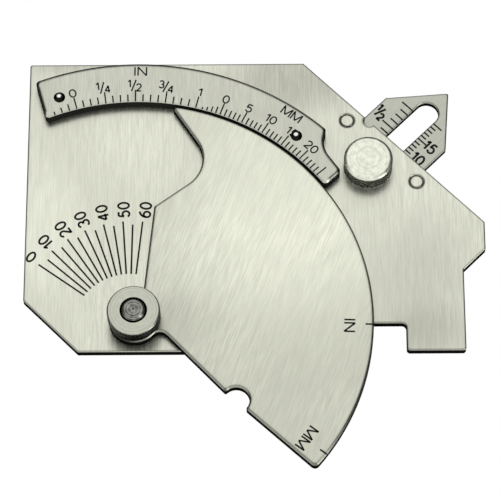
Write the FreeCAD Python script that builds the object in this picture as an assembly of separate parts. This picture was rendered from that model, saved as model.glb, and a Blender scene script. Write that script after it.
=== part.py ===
"""Bridge cam weld gauge: a steel bridge plate that stands on two feet, a swinging
measuring cam with its screw and clamp nut, a curved scale on two pins, and a throat
blade that slides between two guide rivets and is held by a lock screw.

Millimetres. While it is drawn, X runs along the feet, Y points away from the feet, Z out
of the plate's front face (z = 0), and the cam turns about x = y = 0. At the end every
piece is moved so that the origin is the middle of the finished gauge's lowest level.
"""
import FreeCAD
import Part
import math
import os

V = FreeCAD.Vector

# Bridge plate, as seen from the front
PLATE_THICK = 2.2
FEET_DROP = 6.85            # feet below the pivot
PLATE_LEFT = -24.1
TOP_LAND = 1.25             # plate above the curved scale
MOUTH_LAND = 8.3            # from the lock screw's axis to the plate's diagonal edge
NOSE_OUT = 4.9              # how far the nose stands out beside the right foot
NOSE_HIGH = 16.8            # where the nose turns back in towards the right foot
RIGHT_FOOT_CLEAR = 7.0      # between the cam's rim and the right foot
RIGHT_FOOT_W = 12.7
LEFT_FOOT_START = -12.1
LEFT_FOOT_END = 13.0
BRIDGE_RISE = 6.3           # free height under the bridge
FOOT_CORNER_R = 0.7
BRIDGE_CORNER_R = 1.0
PLATE_CORNER_R = 0.4
RELIEF_R = 1.4              # round relief beside the blade's mouth
RELIEF_INSIDE = 2.15        # from the blade's left edge in to the relief's centre
PLATE_BREAK = 0.2           # tumbled edges of the plate and the strap
BLADE_BREAK = 0.25
FACE_BREAK = 0.34           # softened edge round the fronts of the cam and the curved scale

# Measuring cam
CAM_GAP = 0.1               # running gap between cam and plate
CAM_THICK = 2.1
CAM_R = 51.3
POINTER_DEG = 81.6          # the pointer's corner on the rim
POINTER_EDGE_DEG = -56.6    # direction of the pointer's free edge, from tip to root
ROOT_R = 7.6
SHOULDER_X = 4.0            # corner between the root and the angle reading edge
SHOULDER_Y = 26.4
SHOULDER_EDGE_DEG = 36.2
READING_EDGE_DEG = 84.0
BOSS_R = 5.5                # round boss of the cam about the pivot
BOSS_FILLET_R = 2.0
INNER_EDGE_DEG = -46.4      # inner stretch of the cam's lower edge
INNER_EDGE_OFF = 2.5        # its distance from the pivot
TIP_EDGE_DEG = -42.3        # outer stretch of the lower edge
TIP_EDGE_OFF = 0.7
NOTCH_X = 21.8
NOTCH_Y = -18.7
NOTCH_R = 2.85
NOTCH_CORNER_R = 0.4
TIP_R = 1.1
POINTER_R = 0.5
SHOULDER_R = 0.5

# Curved scale
ARC_THICK = 2.8
ARC_GAP = 0.3               # between the cam's rim and the scale's inner wall
ARC_W = 9.35
ARC_LEFT_OUTER_DEG = 111.8
ARC_LEFT_INNER_DEG = 112.9
ARC_RIGHT_OUTER_DEG = 37.5
ARC_RIGHT_INNER_DEG = 37.0
ARC_STEP_DEG = 46.9         # outer corner where the scale narrows beside the lock screw
TAIL_ROOT_W = 5.65          # width at the inner end of that step
TAIL_ROOT_DEG = 44.85
TAIL_ROOT_ROUND_R = 6.0
TAIL_END_W = 4.9
ARC_CORNER_R = 0.9
PIN_R = 1.28
PIN_INSET = 3.8             # from the scale's inner wall to the pins
PIN_DEGS = {"arc_pin_left": 108.1, "arc_pin_right": 50.7}
PIN_DOME = 0.5              # height of the pins' domes above the scale

# Pivot screw, washer and clamp nut
PIVOT_R = 2.5
RUNNING = 0.05              # radial clearance of what turns on a shaft
HEAD_R = 4.6
HEAD_SLOT_W = 1.2
HEAD_SLOT_DEEP = 1.5
EDGE_BREAK = 0.3            # small chamfer on turned heads
SCREW_PROUD = 0.6           # the screw's end stands this far above the nut's top
SCREW_CHAMFER = 0.5
WASHER_R = 5.3
WASHER_THICK = 0.5
NUT_R = 5.7
NUT_HIGH = 4.1
NUT_SINK_R = 2.95
NUT_SINK_DEEP = 0.8
NUT_FOOT_R = 5.2            # smooth turned foot of the nut
NUT_FOOT_HIGH = 0.55

# Throat blade, on an axis at 45 degrees beside the lock screw
AXIS_DEG = 45.0
AXIS_OFF = -9.5             # the blade's axis from the pivot
LOCK_ASIDE = -0.5           # the lock screw from the blade's axis
BLADE_THICK = 1.5
BLADE_GAP = 0.05
BLADE_W = 18.3
BLADE_OUT = 26.5            # from the lock screw's axis to the blade's tip, as it is set
BLADE_TIP_LONG = 10.6
SLOT_W = 5.3
SLOT_END_LAND = 7.1         # from the slot's outer centre to the blade's tip
TRAVEL_OUT = 9.4
BLADE_TAIL_LAND = 5.5       # from the slot's inner centre to the blade's inner end
BLADE_CORNER_R = 0.4

# Back strap, guide rivets and lock screw
STRAP_THICK = 1.6
STRAP_REAR_LAND = 4.4       # strap behind the lock screw's axis
STRAP_FRONT_LAND = 3.0      # strap in front of the rivets
STRAP_END_LAND = 3.1        # strap beyond a rivet's axis
STRAP_CORNER_R = 1.5
RIVET_FORWARD = 4.9         # rivets in front of the lock screw's axis
RIVET_GAP = 0.1             # between a guide rivet and the blade's edge
GUIDE_R = 1.35              # the rivet where it guides the blade
RIVET_PLATE_R = 1.6
RIVET_RIM = 0.18            # eased rims of the rivet and of its hole in the plate's front
RIVET_TAIL_R = 1.0
RIVET_FLARE_R = 1.5
RIVET_FLARE_DEEP = 0.5
LOCK_R = 1.75
LOCK_HOLE_GAP = 0.2         # round the lock screw in the plate
KNOB_R = 5.35
KNOB_HIGH = 4.5
KNOB_LIFT = 0.05            # the knob's underside over the plate
KNOB_EDGE = 0.45
KNOB_CLEAR = 0.7            # between the knob and the narrow end of the curved scale
LOCK_END_SHORT = 0.3        # the screw's end lies this far inside the strap's back

# Levels and places that follow
PLATE_BACK = -PLATE_THICK
BLADE_TOP = PLATE_BACK - BLADE_GAP
STRAP_TOP = BLADE_TOP - BLADE_THICK - BLADE_GAP
STRAP_BACK = STRAP_TOP - STRAP_THICK
CAM_TOP = CAM_GAP + CAM_THICK
WASHER_TOP = CAM_TOP + WASHER_THICK
NUT_TOP = WASHER_TOP + NUT_HIGH
ARC_INNER_R = CAM_R + ARC_GAP
ARC_OUTER_R = ARC_INNER_R + ARC_W
PLATE_TOP = ARC_OUTER_R + TOP_LAND
RIGHT_FOOT_INNER = CAM_R + RIGHT_FOOT_CLEAR
RIGHT_FOOT_OUTER = RIGHT_FOOT_INNER + RIGHT_FOOT_W
NOSE_RIGHT = RIGHT_FOOT_OUTER + NOSE_OUT
LOCK_OUT = ARC_INNER_R + TAIL_END_W + KNOB_CLEAR + KNOB_R
LOCK_ALONG = math.sqrt(LOCK_OUT ** 2 - (AXIS_OFF + LOCK_ASIDE) ** 2)
MOUTH_ALONG = LOCK_ALONG + MOUTH_LAND
RIVET_ALONG = LOCK_ALONG + RIVET_FORWARD
RIVET_OFF = BLADE_W / 2 + RIVET_GAP + GUIDE_R
BLADE_TIP_ALONG = LOCK_ALONG + BLADE_OUT
FAR = 2 * (NOSE_RIGHT + PLATE_TOP)      # reach of cutting shapes, beyond everything
CUT = 1.0                               # how far a cutting shape runs past a face


def polar(radius, degrees):
    angle = math.radians(degrees)
    return (radius * math.cos(angle), radius * math.sin(angle))


def meet(point_a, degrees_a, point_b, degrees_b):
    """Where two lines cross, each given by a point and a direction."""
    ax, ay = polar(1.0, degrees_a)
    bx, by = polar(1.0, degrees_b)
    dx, dy = point_b[0] - point_a[0], point_b[1] - point_a[1]
    along = (dx * by - dy * bx) / (ax * by - ay * bx)
    return (point_a[0] + along * ax, point_a[1] + along * ay)


def beside(distance, degrees):
    """The point of a line nearest to the pivot, from its direction and its distance."""
    return polar(distance, degrees + 90.0)


def on_blade(along, across):
    """A point by its place along and across the blade's axis."""
    c, s = polar(1.0, AXIS_DEG)
    side = AXIS_OFF + across
    return (along * c - side * s, along * s + side * c)


def rounded(corners):
    """Closed outline through (x, y, radius) corners, with tangent arcs."""
    points = [V(x, y, 0) for x, y, _ in corners]
    spans = []
    for i, (_, _, radius) in enumerate(corners):
        here = points[i]
        before = (points[i - 1] - here).normalize()
        after = (points[(i + 1) % len(points)] - here).normalize()
        half = before.getAngle(after) / 2
        if radius <= 0:
            spans.append((here, None, here))
            continue
        back = radius / math.tan(half)
        middle = (before + after).normalize() * (radius / math.sin(half) - radius)
        spans.append((here + before * back, here + middle, here + after * back))
    edges = []
    for i, (start, middle, end) in enumerate(spans):
        if middle is not None:
            edges.append(Part.Arc(start, middle, end).toShape())
        following = spans[(i + 1) % len(spans)][0]
        edges.append(Part.LineSegment(end, following).toShape())
    return Part.Wire(edges)


def slab(outline, low, high):
    face = Part.Face(outline)
    face.translate(V(0, 0, low))
    return face.extrude(V(0, 0, high - low))


def rod(radius, low, high, at=(0, 0)):
    return Part.makeCylinder(radius, high - low, V(at[0], at[1], low))


def turned(profile, at=(0, 0)):
    """A turned piece from its (radius, z) profile."""
    points = [V(r, 0, z) for r, z in profile]
    face = Part.Face(Part.makePolygon(points + points[:1]))
    piece = face.revolve(V(0, 0, 0), V(0, 0, 1), 360)
    piece.translate(V(at[0], at[1], 0))
    return piece


def round_corners(piece, corners):
    """Round the upright edge nearest to each (x, y), by its radius."""
    for (x, y), radius in corners:
        upright = [e for e in piece.Edges if len(e.Vertexes) == 2
                   and isinstance(e.Curve, Part.Line) and abs(e.Curve.Direction.z) > 0.99]
        nearest = min(upright, key=lambda e: math.hypot(e.CenterOfMass.x - x, e.CenterOfMass.y - y))
        piece = piece.makeFillet(radius, [nearest])
    return piece


def break_edges(piece, size, level, facing, rims=0):
    """Take the sharpness off the outline, and off that many inner rims, of the face at a level."""
    flat = [f for f in piece.Faces if isinstance(f.Surface, Part.Plane)
            and f.normalAt(0, 0).z * facing > 0.99 and abs(f.CenterOfMass.z - level) < size / 2]
    face = max(flat, key=lambda f: f.Area)
    wires = sorted(face.Wires, key=lambda w: w.Length, reverse=True)[:1 + rims]
    return piece.makeChamfer(size, [e for w in wires for e in w.Edges]).Solids[0]


def cut_holes(piece, holes, low, high):
    for radius, at in holes:
        piece = piece.cut(rod(radius, low - CUT, high + CUT, at))
    return piece.Solids[0]


LOCK_AT = on_blade(LOCK_ALONG, LOCK_ASIDE)
RIVETS_AT = {"guide_rivet_upper": on_blade(RIVET_ALONG, RIVET_OFF),
             "guide_rivet_lower": on_blade(RIVET_ALONG, -RIVET_OFF)}
PINS_AT = {name: polar(ARC_INNER_R + PIN_INSET, degrees) for name, degrees in PIN_DEGS.items()}


def main_plate():
    """The bridge plate with its feet, its diagonal and the holes of what it carries."""
    feet = -FEET_DROP
    ceiling = feet + BRIDGE_RISE
    mouth = on_blade(MOUTH_ALONG, 0)
    top_end = meet(mouth, AXIS_DEG + 90, (0, PLATE_TOP), 0)
    nose_top = meet(mouth, AXIS_DEG + 90, (NOSE_RIGHT, 0), 90)
    foot_top = NOSE_HIGH - NOSE_OUT
    chamfer_top = feet + (LEFT_FOOT_START - PLATE_LEFT)
    outline = rounded([
        (PLATE_LEFT, PLATE_TOP, PLATE_CORNER_R),
        (PLATE_LEFT, chamfer_top, PLATE_CORNER_R),
        (LEFT_FOOT_START, feet, PLATE_CORNER_R),
        (LEFT_FOOT_END, feet, FOOT_CORNER_R),
        (LEFT_FOOT_END, ceiling, BRIDGE_CORNER_R),
        (RIGHT_FOOT_INNER, ceiling, BRIDGE_CORNER_R),
        (RIGHT_FOOT_INNER, feet, FOOT_CORNER_R),
        (RIGHT_FOOT_OUTER, feet, FOOT_CORNER_R),
        (RIGHT_FOOT_OUTER, foot_top, PLATE_CORNER_R),
        (NOSE_RIGHT, NOSE_HIGH, PLATE_CORNER_R),
        (*nose_top, PLATE_CORNER_R),
        (*top_end, PLATE_CORNER_R),
    ])
    plate = slab(outline, PLATE_BACK, 0)
    plate = break_edges(break_edges(plate, PLATE_BREAK, 0, 1), PLATE_BREAK, PLATE_BACK, -1)
    relief_at = on_blade(MOUTH_ALONG, BLADE_W / 2 - RELIEF_INSIDE)
    holes = [(PIVOT_R, (0, 0)), (LOCK_R + LOCK_HOLE_GAP, LOCK_AT), (RELIEF_R, relief_at)]
    holes += [(RIVET_PLATE_R, at) for at in RIVETS_AT.values()]
    holes += [(PIN_R, at) for at in PINS_AT.values()]
    eased = [(0, CUT), (RIVET_PLATE_R + RIVET_RIM + CUT, CUT), (RIVET_PLATE_R, -RIVET_RIM), (0, -RIVET_RIM)]
    for at in RIVETS_AT.values():
        plate = plate.cut(turned(eased, at))
    return cut_holes(plate, holes, PLATE_BACK, 0)


def cam():
    """The measuring cam: rim, pointer, root hollow, reading edge, notch and tip."""
    pointer = polar(CAM_R, POINTER_DEG)
    shoulder = (SHOULDER_X, SHOULDER_Y)
    root = meet(pointer, POINTER_EDGE_DEG, shoulder, SHOULDER_EDGE_DEG)
    reading_foot = meet(shoulder, READING_EDGE_DEG, (0, 0), READING_EDGE_DEG - 90)
    inner_foot = beside(INNER_EDGE_OFF, INNER_EDGE_DEG)
    tip_foot = beside(TIP_EDGE_OFF, TIP_EDGE_DEG)
    notch = (NOTCH_X, NOTCH_Y)
    inner_end = meet(inner_foot, INNER_EDGE_DEG, notch, INNER_EDGE_DEG + 90)
    tip_start = meet(tip_foot, TIP_EDGE_DEG, notch, TIP_EDGE_DEG + 90)
    reach = math.sqrt(CAM_R ** 2 - TIP_EDGE_OFF ** 2)
    ux, uy = polar(1.0, TIP_EDGE_DEG)
    tip = (tip_foot[0] + reach * ux, tip_foot[1] + reach * uy)
    beyond_tip = (tip_foot[0] + FAR * ux, tip_foot[1] + FAR * uy)
    px, py = polar(1.0, POINTER_EDGE_DEG + 180)
    beyond_pointer = (pointer[0] + FAR * px, pointer[1] + FAR * py)
    corner = polar(2 * FAR, (POINTER_DEG + TIP_EDGE_DEG) / 2)
    outline = rounded([
        (*beyond_pointer, 0), (*root, ROOT_R), (*shoulder, SHOULDER_R), (*reading_foot, 0),
        (*inner_foot, 0), (*inner_end, 0), (*tip_start, 0), (*beyond_tip, 0), (*corner, 0),
    ])
    disc = rod(CAM_R, CAM_GAP, CAM_TOP)
    blade = slab(outline, CAM_GAP - CUT, CAM_TOP + CUT).common(disc)
    body = blade.fuse(rod(BOSS_R, CAM_GAP, CAM_TOP)).removeSplitter()
    body = cut_holes(body, [(NOTCH_R, notch)], CAM_GAP, CAM_TOP)
    boss_reach = math.sqrt(BOSS_R ** 2 - INNER_EDGE_OFF ** 2)
    ix, iy = polar(1.0, INNER_EDGE_DEG)
    boss_corner = (inner_foot[0] + boss_reach * ix, inner_foot[1] + boss_reach * iy)
    notch_inner = (inner_end[0] - NOTCH_R * ix, inner_end[1] - NOTCH_R * iy)
    notch_outer = (tip_start[0] + NOTCH_R * ux, tip_start[1] + NOTCH_R * uy)
    body = round_corners(body, [
        (boss_corner, BOSS_FILLET_R), (notch_inner, NOTCH_CORNER_R), (notch_outer, NOTCH_CORNER_R),
        (tip, TIP_R), (pointer, POINTER_R),
    ])
    body = break_edges(body, FACE_BREAK, CAM_TOP, 1)
    return cut_holes(body, [(PIVOT_R + RUNNING, (0, 0))], CAM_GAP, CAM_TOP)


def arc_scale():
    """The curved scale round the cam's rim, narrowed at its right end."""
    left_outer = polar(ARC_OUTER_R, ARC_LEFT_OUTER_DEG)
    left_inner = polar(ARC_INNER_R, ARC_LEFT_INNER_DEG)
    right_inner = polar(ARC_INNER_R, ARC_RIGHT_INNER_DEG)
    step = polar(ARC_OUTER_R, ARC_STEP_DEG)
    root = polar(ARC_INNER_R + TAIL_ROOT_W, TAIL_ROOT_DEG)
    end = polar(ARC_INNER_R + TAIL_END_W, ARC_RIGHT_OUTER_DEG)
    left_top = extend(left_inner, left_outer)
    left_low = extend(left_outer, left_inner)
    right_low = extend(end, right_inner)
    step_out = extend(root, step)
    outline = rounded([
        (*left_top, 0), (*left_low, 0), (*right_low, 0), (*end, ARC_CORNER_R),
        (*root, TAIL_ROOT_ROUND_R), (*step_out, 0),
        (*polar(FAR, (ARC_LEFT_OUTER_DEG + ARC_STEP_DEG) / 2), 0),
    ])
    ring = rod(ARC_OUTER_R, 0, ARC_THICK).cut(rod(ARC_INNER_R, -CUT, ARC_THICK + CUT))
    scale = slab(outline, -CUT, ARC_THICK + CUT).common(ring)
    scale = round_corners(scale, [(p, ARC_CORNER_R) for p in (left_outer, left_inner, step, right_inner)])
    scale = break_edges(scale, FACE_BREAK, ARC_THICK, 1)
    return cut_holes(scale, [(PIN_R, at) for at in PINS_AT.values()], 0, ARC_THICK)


def extend(start, through):
    """A point past `through`, on the line from `start`, clear of the scale's ring."""
    dx, dy = through[0] - start[0], through[1] - start[1]
    reach = ARC_OUTER_R / 4 / math.hypot(dx, dy)
    return (through[0] + dx * reach, through[1] + dy * reach)


def arc_pin(at):
    """Domed pin, pressed through the scale and the plate."""
    dome_r = (PIN_R ** 2 + PIN_DOME ** 2) / (2 * PIN_DOME)
    ball = Part.makeSphere(dome_r, V(at[0], at[1], ARC_THICK + PIN_DOME - dome_r))
    shank = rod(PIN_R, PLATE_BACK, ARC_THICK + PIN_DOME, at)
    below = rod(PIN_R, PLATE_BACK, ARC_THICK, at)
    return shank.common(ball).fuse(below).removeSplitter().Solids[0]


def pivot_screw():
    """Slotted screw from the back: the cam turns on it and the clamp nut holds it."""
    end = NUT_TOP + SCREW_PROUD
    screw = turned([
        (0, STRAP_BACK), (HEAD_R - EDGE_BREAK, STRAP_BACK), (HEAD_R, STRAP_BACK + EDGE_BREAK),
        (HEAD_R, PLATE_BACK), (PIVOT_R, PLATE_BACK), (PIVOT_R, end - SCREW_CHAMFER),
        (PIVOT_R - SCREW_CHAMFER, end), (0, end),
    ])
    slot = Part.makeBox(2 * HEAD_R + 2 * CUT, HEAD_SLOT_W, HEAD_SLOT_DEEP + CUT,
                        V(-HEAD_R - CUT, -HEAD_SLOT_W / 2, STRAP_BACK - CUT))
    return screw.cut(slot).Solids[0]


def pivot_washer():
    bore = PIVOT_R + RUNNING
    return turned([(bore, CAM_TOP), (WASHER_R, CAM_TOP), (WASHER_R, WASHER_TOP), (bore, WASHER_TOP)])


def clamp_nut():
    """Round clamp nut: a broad rim for the fingers over a smooth foot."""
    bore = PIVOT_R + RUNNING
    rim_low = WASHER_TOP + NUT_FOOT_HIGH
    return turned([
        (bore, WASHER_TOP), (NUT_FOOT_R, WASHER_TOP), (NUT_FOOT_R, rim_low - EDGE_BREAK),
        (NUT_R, rim_low), (NUT_R, NUT_TOP - EDGE_BREAK), (NUT_R - EDGE_BREAK, NUT_TOP),
        (NUT_SINK_R, NUT_TOP), (bore, NUT_TOP - NUT_SINK_DEEP),
    ])


def throat_blade():
    """The sliding blade: a pointed end, a long slot and a square inner end."""
    half = BLADE_W / 2
    shoulder = BLADE_TIP_ALONG - BLADE_TIP_LONG
    slot_outer = BLADE_TIP_ALONG - SLOT_END_LAND
    slot_inner = LOCK_ALONG - TRAVEL_OUT
    inner = slot_inner - BLADE_TAIL_LAND
    outline = rounded([
        (*on_blade(BLADE_TIP_ALONG, 0), BLADE_CORNER_R), (*on_blade(shoulder, half), BLADE_CORNER_R),
        (*on_blade(inner, half), BLADE_CORNER_R), (*on_blade(inner, -half), BLADE_CORNER_R),
        (*on_blade(shoulder, -half), BLADE_CORNER_R),
    ])
    low = BLADE_TOP - BLADE_THICK
    blade = slab(outline, low, BLADE_TOP)
    slot = slab(rounded([
        (*on_blade(slot_outer, SLOT_W / 2), 0), (*on_blade(slot_inner, SLOT_W / 2), 0),
        (*on_blade(slot_inner, -SLOT_W / 2), 0), (*on_blade(slot_outer, -SLOT_W / 2), 0),
    ]), low - CUT, BLADE_TOP + CUT)
    ends = [(SLOT_W / 2, on_blade(slot_outer, 0)), (SLOT_W / 2, on_blade(slot_inner, 0))]
    return break_edges(cut_holes(blade.cut(slot), ends, low, BLADE_TOP), BLADE_BREAK, BLADE_TOP, 1, rims=1)


def back_strap():
    """Flat strap behind the blade, tapped for the lock screw."""
    half = RIVET_OFF + STRAP_END_LAND
    rear = LOCK_ALONG - STRAP_REAR_LAND
    front = RIVET_ALONG + STRAP_FRONT_LAND
    outline = rounded([(*on_blade(front, half), STRAP_CORNER_R), (*on_blade(rear, half), STRAP_CORNER_R),
                       (*on_blade(rear, -half), STRAP_CORNER_R), (*on_blade(front, -half), STRAP_CORNER_R)])
    strap = break_edges(slab(outline, STRAP_BACK, STRAP_TOP), PLATE_BREAK, STRAP_BACK, -1)
    strap = cut_holes(strap, [(LOCK_R + RUNNING, LOCK_AT)], STRAP_BACK, STRAP_TOP)
    for at in RIVETS_AT.values():
        strap = strap.cut(turned(rivet_tail(), at))
    return strap.Solids[0]


def rivet_tail():
    """Profile of a guide rivet inside the strap, with its end flared flush."""
    return [(0, STRAP_BACK), (RIVET_FLARE_R, STRAP_BACK), (RIVET_TAIL_R, STRAP_BACK + RIVET_FLARE_DEEP),
            (RIVET_TAIL_R, STRAP_TOP), (0, STRAP_TOP)]


def guide_rivet(at):
    """Shouldered rivet: flush in the plate, a guide for the blade, flared in the strap."""
    return turned(rivet_tail()[:-1] + [
        (GUIDE_R, STRAP_TOP), (GUIDE_R, PLATE_BACK), (RIVET_PLATE_R, PLATE_BACK),
        (RIVET_PLATE_R, -RIVET_RIM), (RIVET_PLATE_R - RIVET_RIM, 0), (0, 0),
    ], at)


def lock_screw():
    """Thumb screw with a broad round head, through plate, blade slot and strap."""
    low = STRAP_BACK + LOCK_END_SHORT
    top = KNOB_LIFT + KNOB_HIGH
    return turned([
        (0, low), (LOCK_R - EDGE_BREAK, low), (LOCK_R, low + EDGE_BREAK), (LOCK_R, KNOB_LIFT),
        (KNOB_R - EDGE_BREAK, KNOB_LIFT), (KNOB_R, KNOB_LIFT + EDGE_BREAK),
        (KNOB_R, top - KNOB_EDGE), (KNOB_R - KNOB_EDGE, top), (0, top),
    ], LOCK_AT)


def build():
    """Every piece by its node name, still in the drawing's own place."""
    pieces = {
        "main_plate": main_plate(), "cam": cam(), "arc_scale": arc_scale(),
        "pivot_screw": pivot_screw(), "pivot_washer": pivot_washer(), "clamp_nut": clamp_nut(),
        "throat_blade": throat_blade(), "back_strap": back_strap(), "lock_screw": lock_screw(),
    }
    for name, at in PINS_AT.items():
        pieces[name] = arc_pin(at)
    for name, at in RIVETS_AT.items():
        pieces[name] = guide_rivet(at)
    return pieces


def origin_shift(pieces):
    """The move that puts the origin in the middle of the gauge's lowest level."""
    box = Part.makeCompound(list(pieces.values())).BoundBox
    return V(-(box.XMin + box.XMax) / 2, -(box.YMin + box.YMax) / 2, -box.ZMin)


PIECES = build()
SHIFT = origin_shift(PIECES)
os.makedirs("parts", exist_ok=True)
for node, piece in PIECES.items():
    piece.translate(SHIFT)
    piece.exportStep("parts/" + node + ".step")
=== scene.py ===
"""Looks of a bridge cam weld gauge: brushed sheet steel, etched graduations, knurled screws
and the light of a plain studio.

Objects are in metres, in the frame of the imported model. Places on the gauge's face are
measured as on the bench, in millimetres from the axis that the cam turns about. Angles are
in degrees, counterclockwise from +X.
"""
import math

import bmesh
import bpy
from mathutils import Matrix, Vector


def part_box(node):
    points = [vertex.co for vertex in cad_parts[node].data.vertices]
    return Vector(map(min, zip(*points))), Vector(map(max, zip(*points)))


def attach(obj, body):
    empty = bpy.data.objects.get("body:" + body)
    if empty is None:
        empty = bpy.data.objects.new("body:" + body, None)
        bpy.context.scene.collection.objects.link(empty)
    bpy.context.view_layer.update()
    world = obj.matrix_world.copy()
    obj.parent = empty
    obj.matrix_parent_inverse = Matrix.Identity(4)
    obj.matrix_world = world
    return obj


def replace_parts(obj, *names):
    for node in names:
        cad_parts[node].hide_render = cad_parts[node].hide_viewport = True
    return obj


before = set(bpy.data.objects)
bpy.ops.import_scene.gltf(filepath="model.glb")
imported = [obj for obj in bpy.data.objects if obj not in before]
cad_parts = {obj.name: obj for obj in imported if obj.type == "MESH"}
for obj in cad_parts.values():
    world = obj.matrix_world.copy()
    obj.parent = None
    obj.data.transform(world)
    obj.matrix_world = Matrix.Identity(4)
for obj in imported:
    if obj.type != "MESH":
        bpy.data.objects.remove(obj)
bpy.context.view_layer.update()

MM = 0.001
INCH = 25.4

# Etched lines
MARK_RISE = 0.012           # height of an etched line over the face it is on
LETTER_GAP = 0.26           # between two characters, in character heights
ARC_STEP = 15.0             # degrees between two points on a round stroke
SLASH = ((-0.34, -0.8), (0.24, 0.8))    # slanted stroke of a fraction, in character heights
SLOPE = 0.29                # how far a tick runs out and down over a broken edge
HOLLOW_DROP = 0.22          # less far down on a hollow edge, whose flats stand proud

# Curved scale
RIM_R = 51.95               # the ticks start here, where the scale's face does
LONG_TICK_R = 54.4
SHORT_TICK_R = 53.3
RUN_IN_R = (53.2, 52.9, 52.45, 52.15)      # shortening ticks before zero
TICK_W = 0.32
LABEL_R = 55.5
SCALE_LETTER = 1.8
SCALE_WEIGHT = 0.33
INCH_SPREAD = 1.3           # how much wider than drawn the figures are
METRIC_SPREAD = 1.2
FRACTION_LETTER = 1.75
FRACTION_BACK = 0.3         # the fractions stand this far before their ticks
UNIT_R = 59.0
UNIT_LETTER = 2.1
UNIT_LABELS = (("IN", 89.4, 1.35), ("MM", 54.7, 1.15))     # text, degrees, spread
INCH_ZERO_DEG = 104.95
METRIC_ZERO_DEG = 69.25
METRIC_LONGEST = 25

# Both graduations: degrees of zero, step, steps to the last tick, steps to a long tick, and
# the number of ticks before zero
GRADUATIONS = (
    (INCH_ZERO_DEG, INCH / 16, 16, 4, 3),
    (METRIC_ZERO_DEG, 1.0, METRIC_LONGEST, 5, 4),
)

# Measuring cam
POINTER_R = 50.3            # the pointer's tip from the cam's axis
AXIS_OVER_FEET = 7.0        # the cam's axis over the level that the feet stand on
CAM_EDGE_R = 50.95          # the cam's face ends here
INDEX_END_R = 49.5
INDEX_W = 0.38
INDEX_LETTER = 2.35

# The cam's index lines: degrees, unit, the unit's place in radius and degrees, spread
INDEX_LINES = (
    (-1.9, "IN", (46.1, -2.35), 1.25),
    (-37.3, "MM", (45.8, -36.85), 1.15),
)

# Angle scale on the plate
FAN_CENTRE = (-1.1, -0.83)
FAN_ZERO_DEG = 144.1
FAN_STEP = 5
FAN_LAST = 60
FAN_INNER_R = 12.1
FAN_LONG_R = 24.6
FAN_SHORT_R = 23.8
FAN_LABEL_R = 27.0
FAN_LABEL_CENTRE = (-0.8, -0.43)
FAN_LINE_W = 0.38
FAN_LETTER = 2.35
FAN_WEIGHT = 0.47

# Throat blade
BLADE_AXIS_DEG = 45.0
SLOT_W = 5.3
SLOT_BREAK = 0.26           # the slot's broken edge
SLOT_SLOPE = 0.22           # how far a line runs down over it
LOCK_ASIDE = -0.5           # the lock screw from the middle of the blade's slot
BLADE_ZERO_ALONG = 60.4     # the graduations' zero, along the blade's axis
BLADE_TICK_W = 0.36
BLADE_METRIC = (2.7, 1.7)   # long and short lines on the metric side
BLADE_METRIC_LAST = 20
BLADE_INCH = (3.2, 2.2)     # and on the inch side
BLADE_SIXTEENTHS = 12
BLADE_LETTER = 2.3
BLADE_WEIGHT = 0.5
BLADE_LABEL_ACROSS = 6.3
BLADE_LABEL_SHIFT = 0.2     # the figures stand this far beyond their lines
TEN_LABEL_SHIFT = 1.3       # keeps the ten clear of the plate's edge
BLADE_FRACTION_LETTER = 1.7
BLADE_FRACTION_SHIFT = 1.1
BLADE_FRACTION_ACROSS = 7.55
BLADE_FRACTION_STEP = 0.5   # its figures from its middle, both ways, in character heights

# Knurling
KNURLS_AROUND = 48
KNURL_PITCH = 0.95          # of the diamonds along the axis
KNURL_STEPS = 4             # rows of vertices to one diamond, both ways
KNURL_DEEP = 0.2
KNURL_SHARP = 1.5           # over 1, the diamonds' tops are cut flat
SMOOTH_DEG = 32

# Clamp nut, its edges as distances from its rim and from its bottom or top
NUT_BORE_R = 2.55
NUT_SINK_R = 2.95
NUT_SINK_DEEP = 0.8
NUT_FOOT_R = 5.2
NUT_FOOT_HIGH = 0.42
NUT_LOWER_EDGE = ((0.22, 0.55), (0.0, 0.72))
NUT_SHOULDER = ((0.0, 0.42), (0.1, 0.2), (0.3, 0.03), (0.42, 0.0))

# Lock screw, the knob's shoulder given likewise
KNOB_LIFT = 0.05            # the knob over the plate's face
KNOB_SHOULDER = ((0.08, 0.45), (0.52, 0.1), (0.85, 0.03))
KNOB_KNURL_DROP = 0.62      # the knurl's end below the top
SHANK_R = 1.75
SHANK_BREAK = 0.3

# The turned pieces' finishes, in the order of their materials
FACED, KNURLED, SUNK = range(3)

# Colours of the steel parts
BRIGHT_STEEL = (0.717, 0.727, 0.615)
CAM_STEEL = (0.617, 0.626, 0.526)
SCALE_STEEL = (0.602, 0.612, 0.523)
BLADE_STEEL = (0.575, 0.585, 0.503)
STRAP_STEEL = (0.66, 0.67, 0.6)
SCREW_STEEL = (0.24, 0.245, 0.215)
SCREW_CENTRE = (0.05, 0.05, 0.045)
WASHER_PAINTED_SHADE = (0.26, 0.265, 0.235)
PIN_PAINTED_GLINT = (0.9, 0.9, 0.82)
PIN_PAINTED_SHADE = (0.012, 0.012, 0.01)
NUT_STEEL = (0.555, 0.565, 0.48)
NUT_SIDE_PAINTED_SHADE = (0.09, 0.093, 0.08)
SINK_PAINTED_SHADE = (0.03, 0.03, 0.027)
KNOB_STEEL = (0.83, 0.845, 0.72)
KNOB_SIDE = (0.65, 0.66, 0.58)
# painted shade along the edges
EDGE_SHADE_COLOUR = (0.02, 0.02, 0.017)
GROOVE_DARK = (0.008, 0.008, 0.006)
ETCH_BLACKS = ((0.004, 0.004, 0.003), (0.016, 0.016, 0.013))

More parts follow.
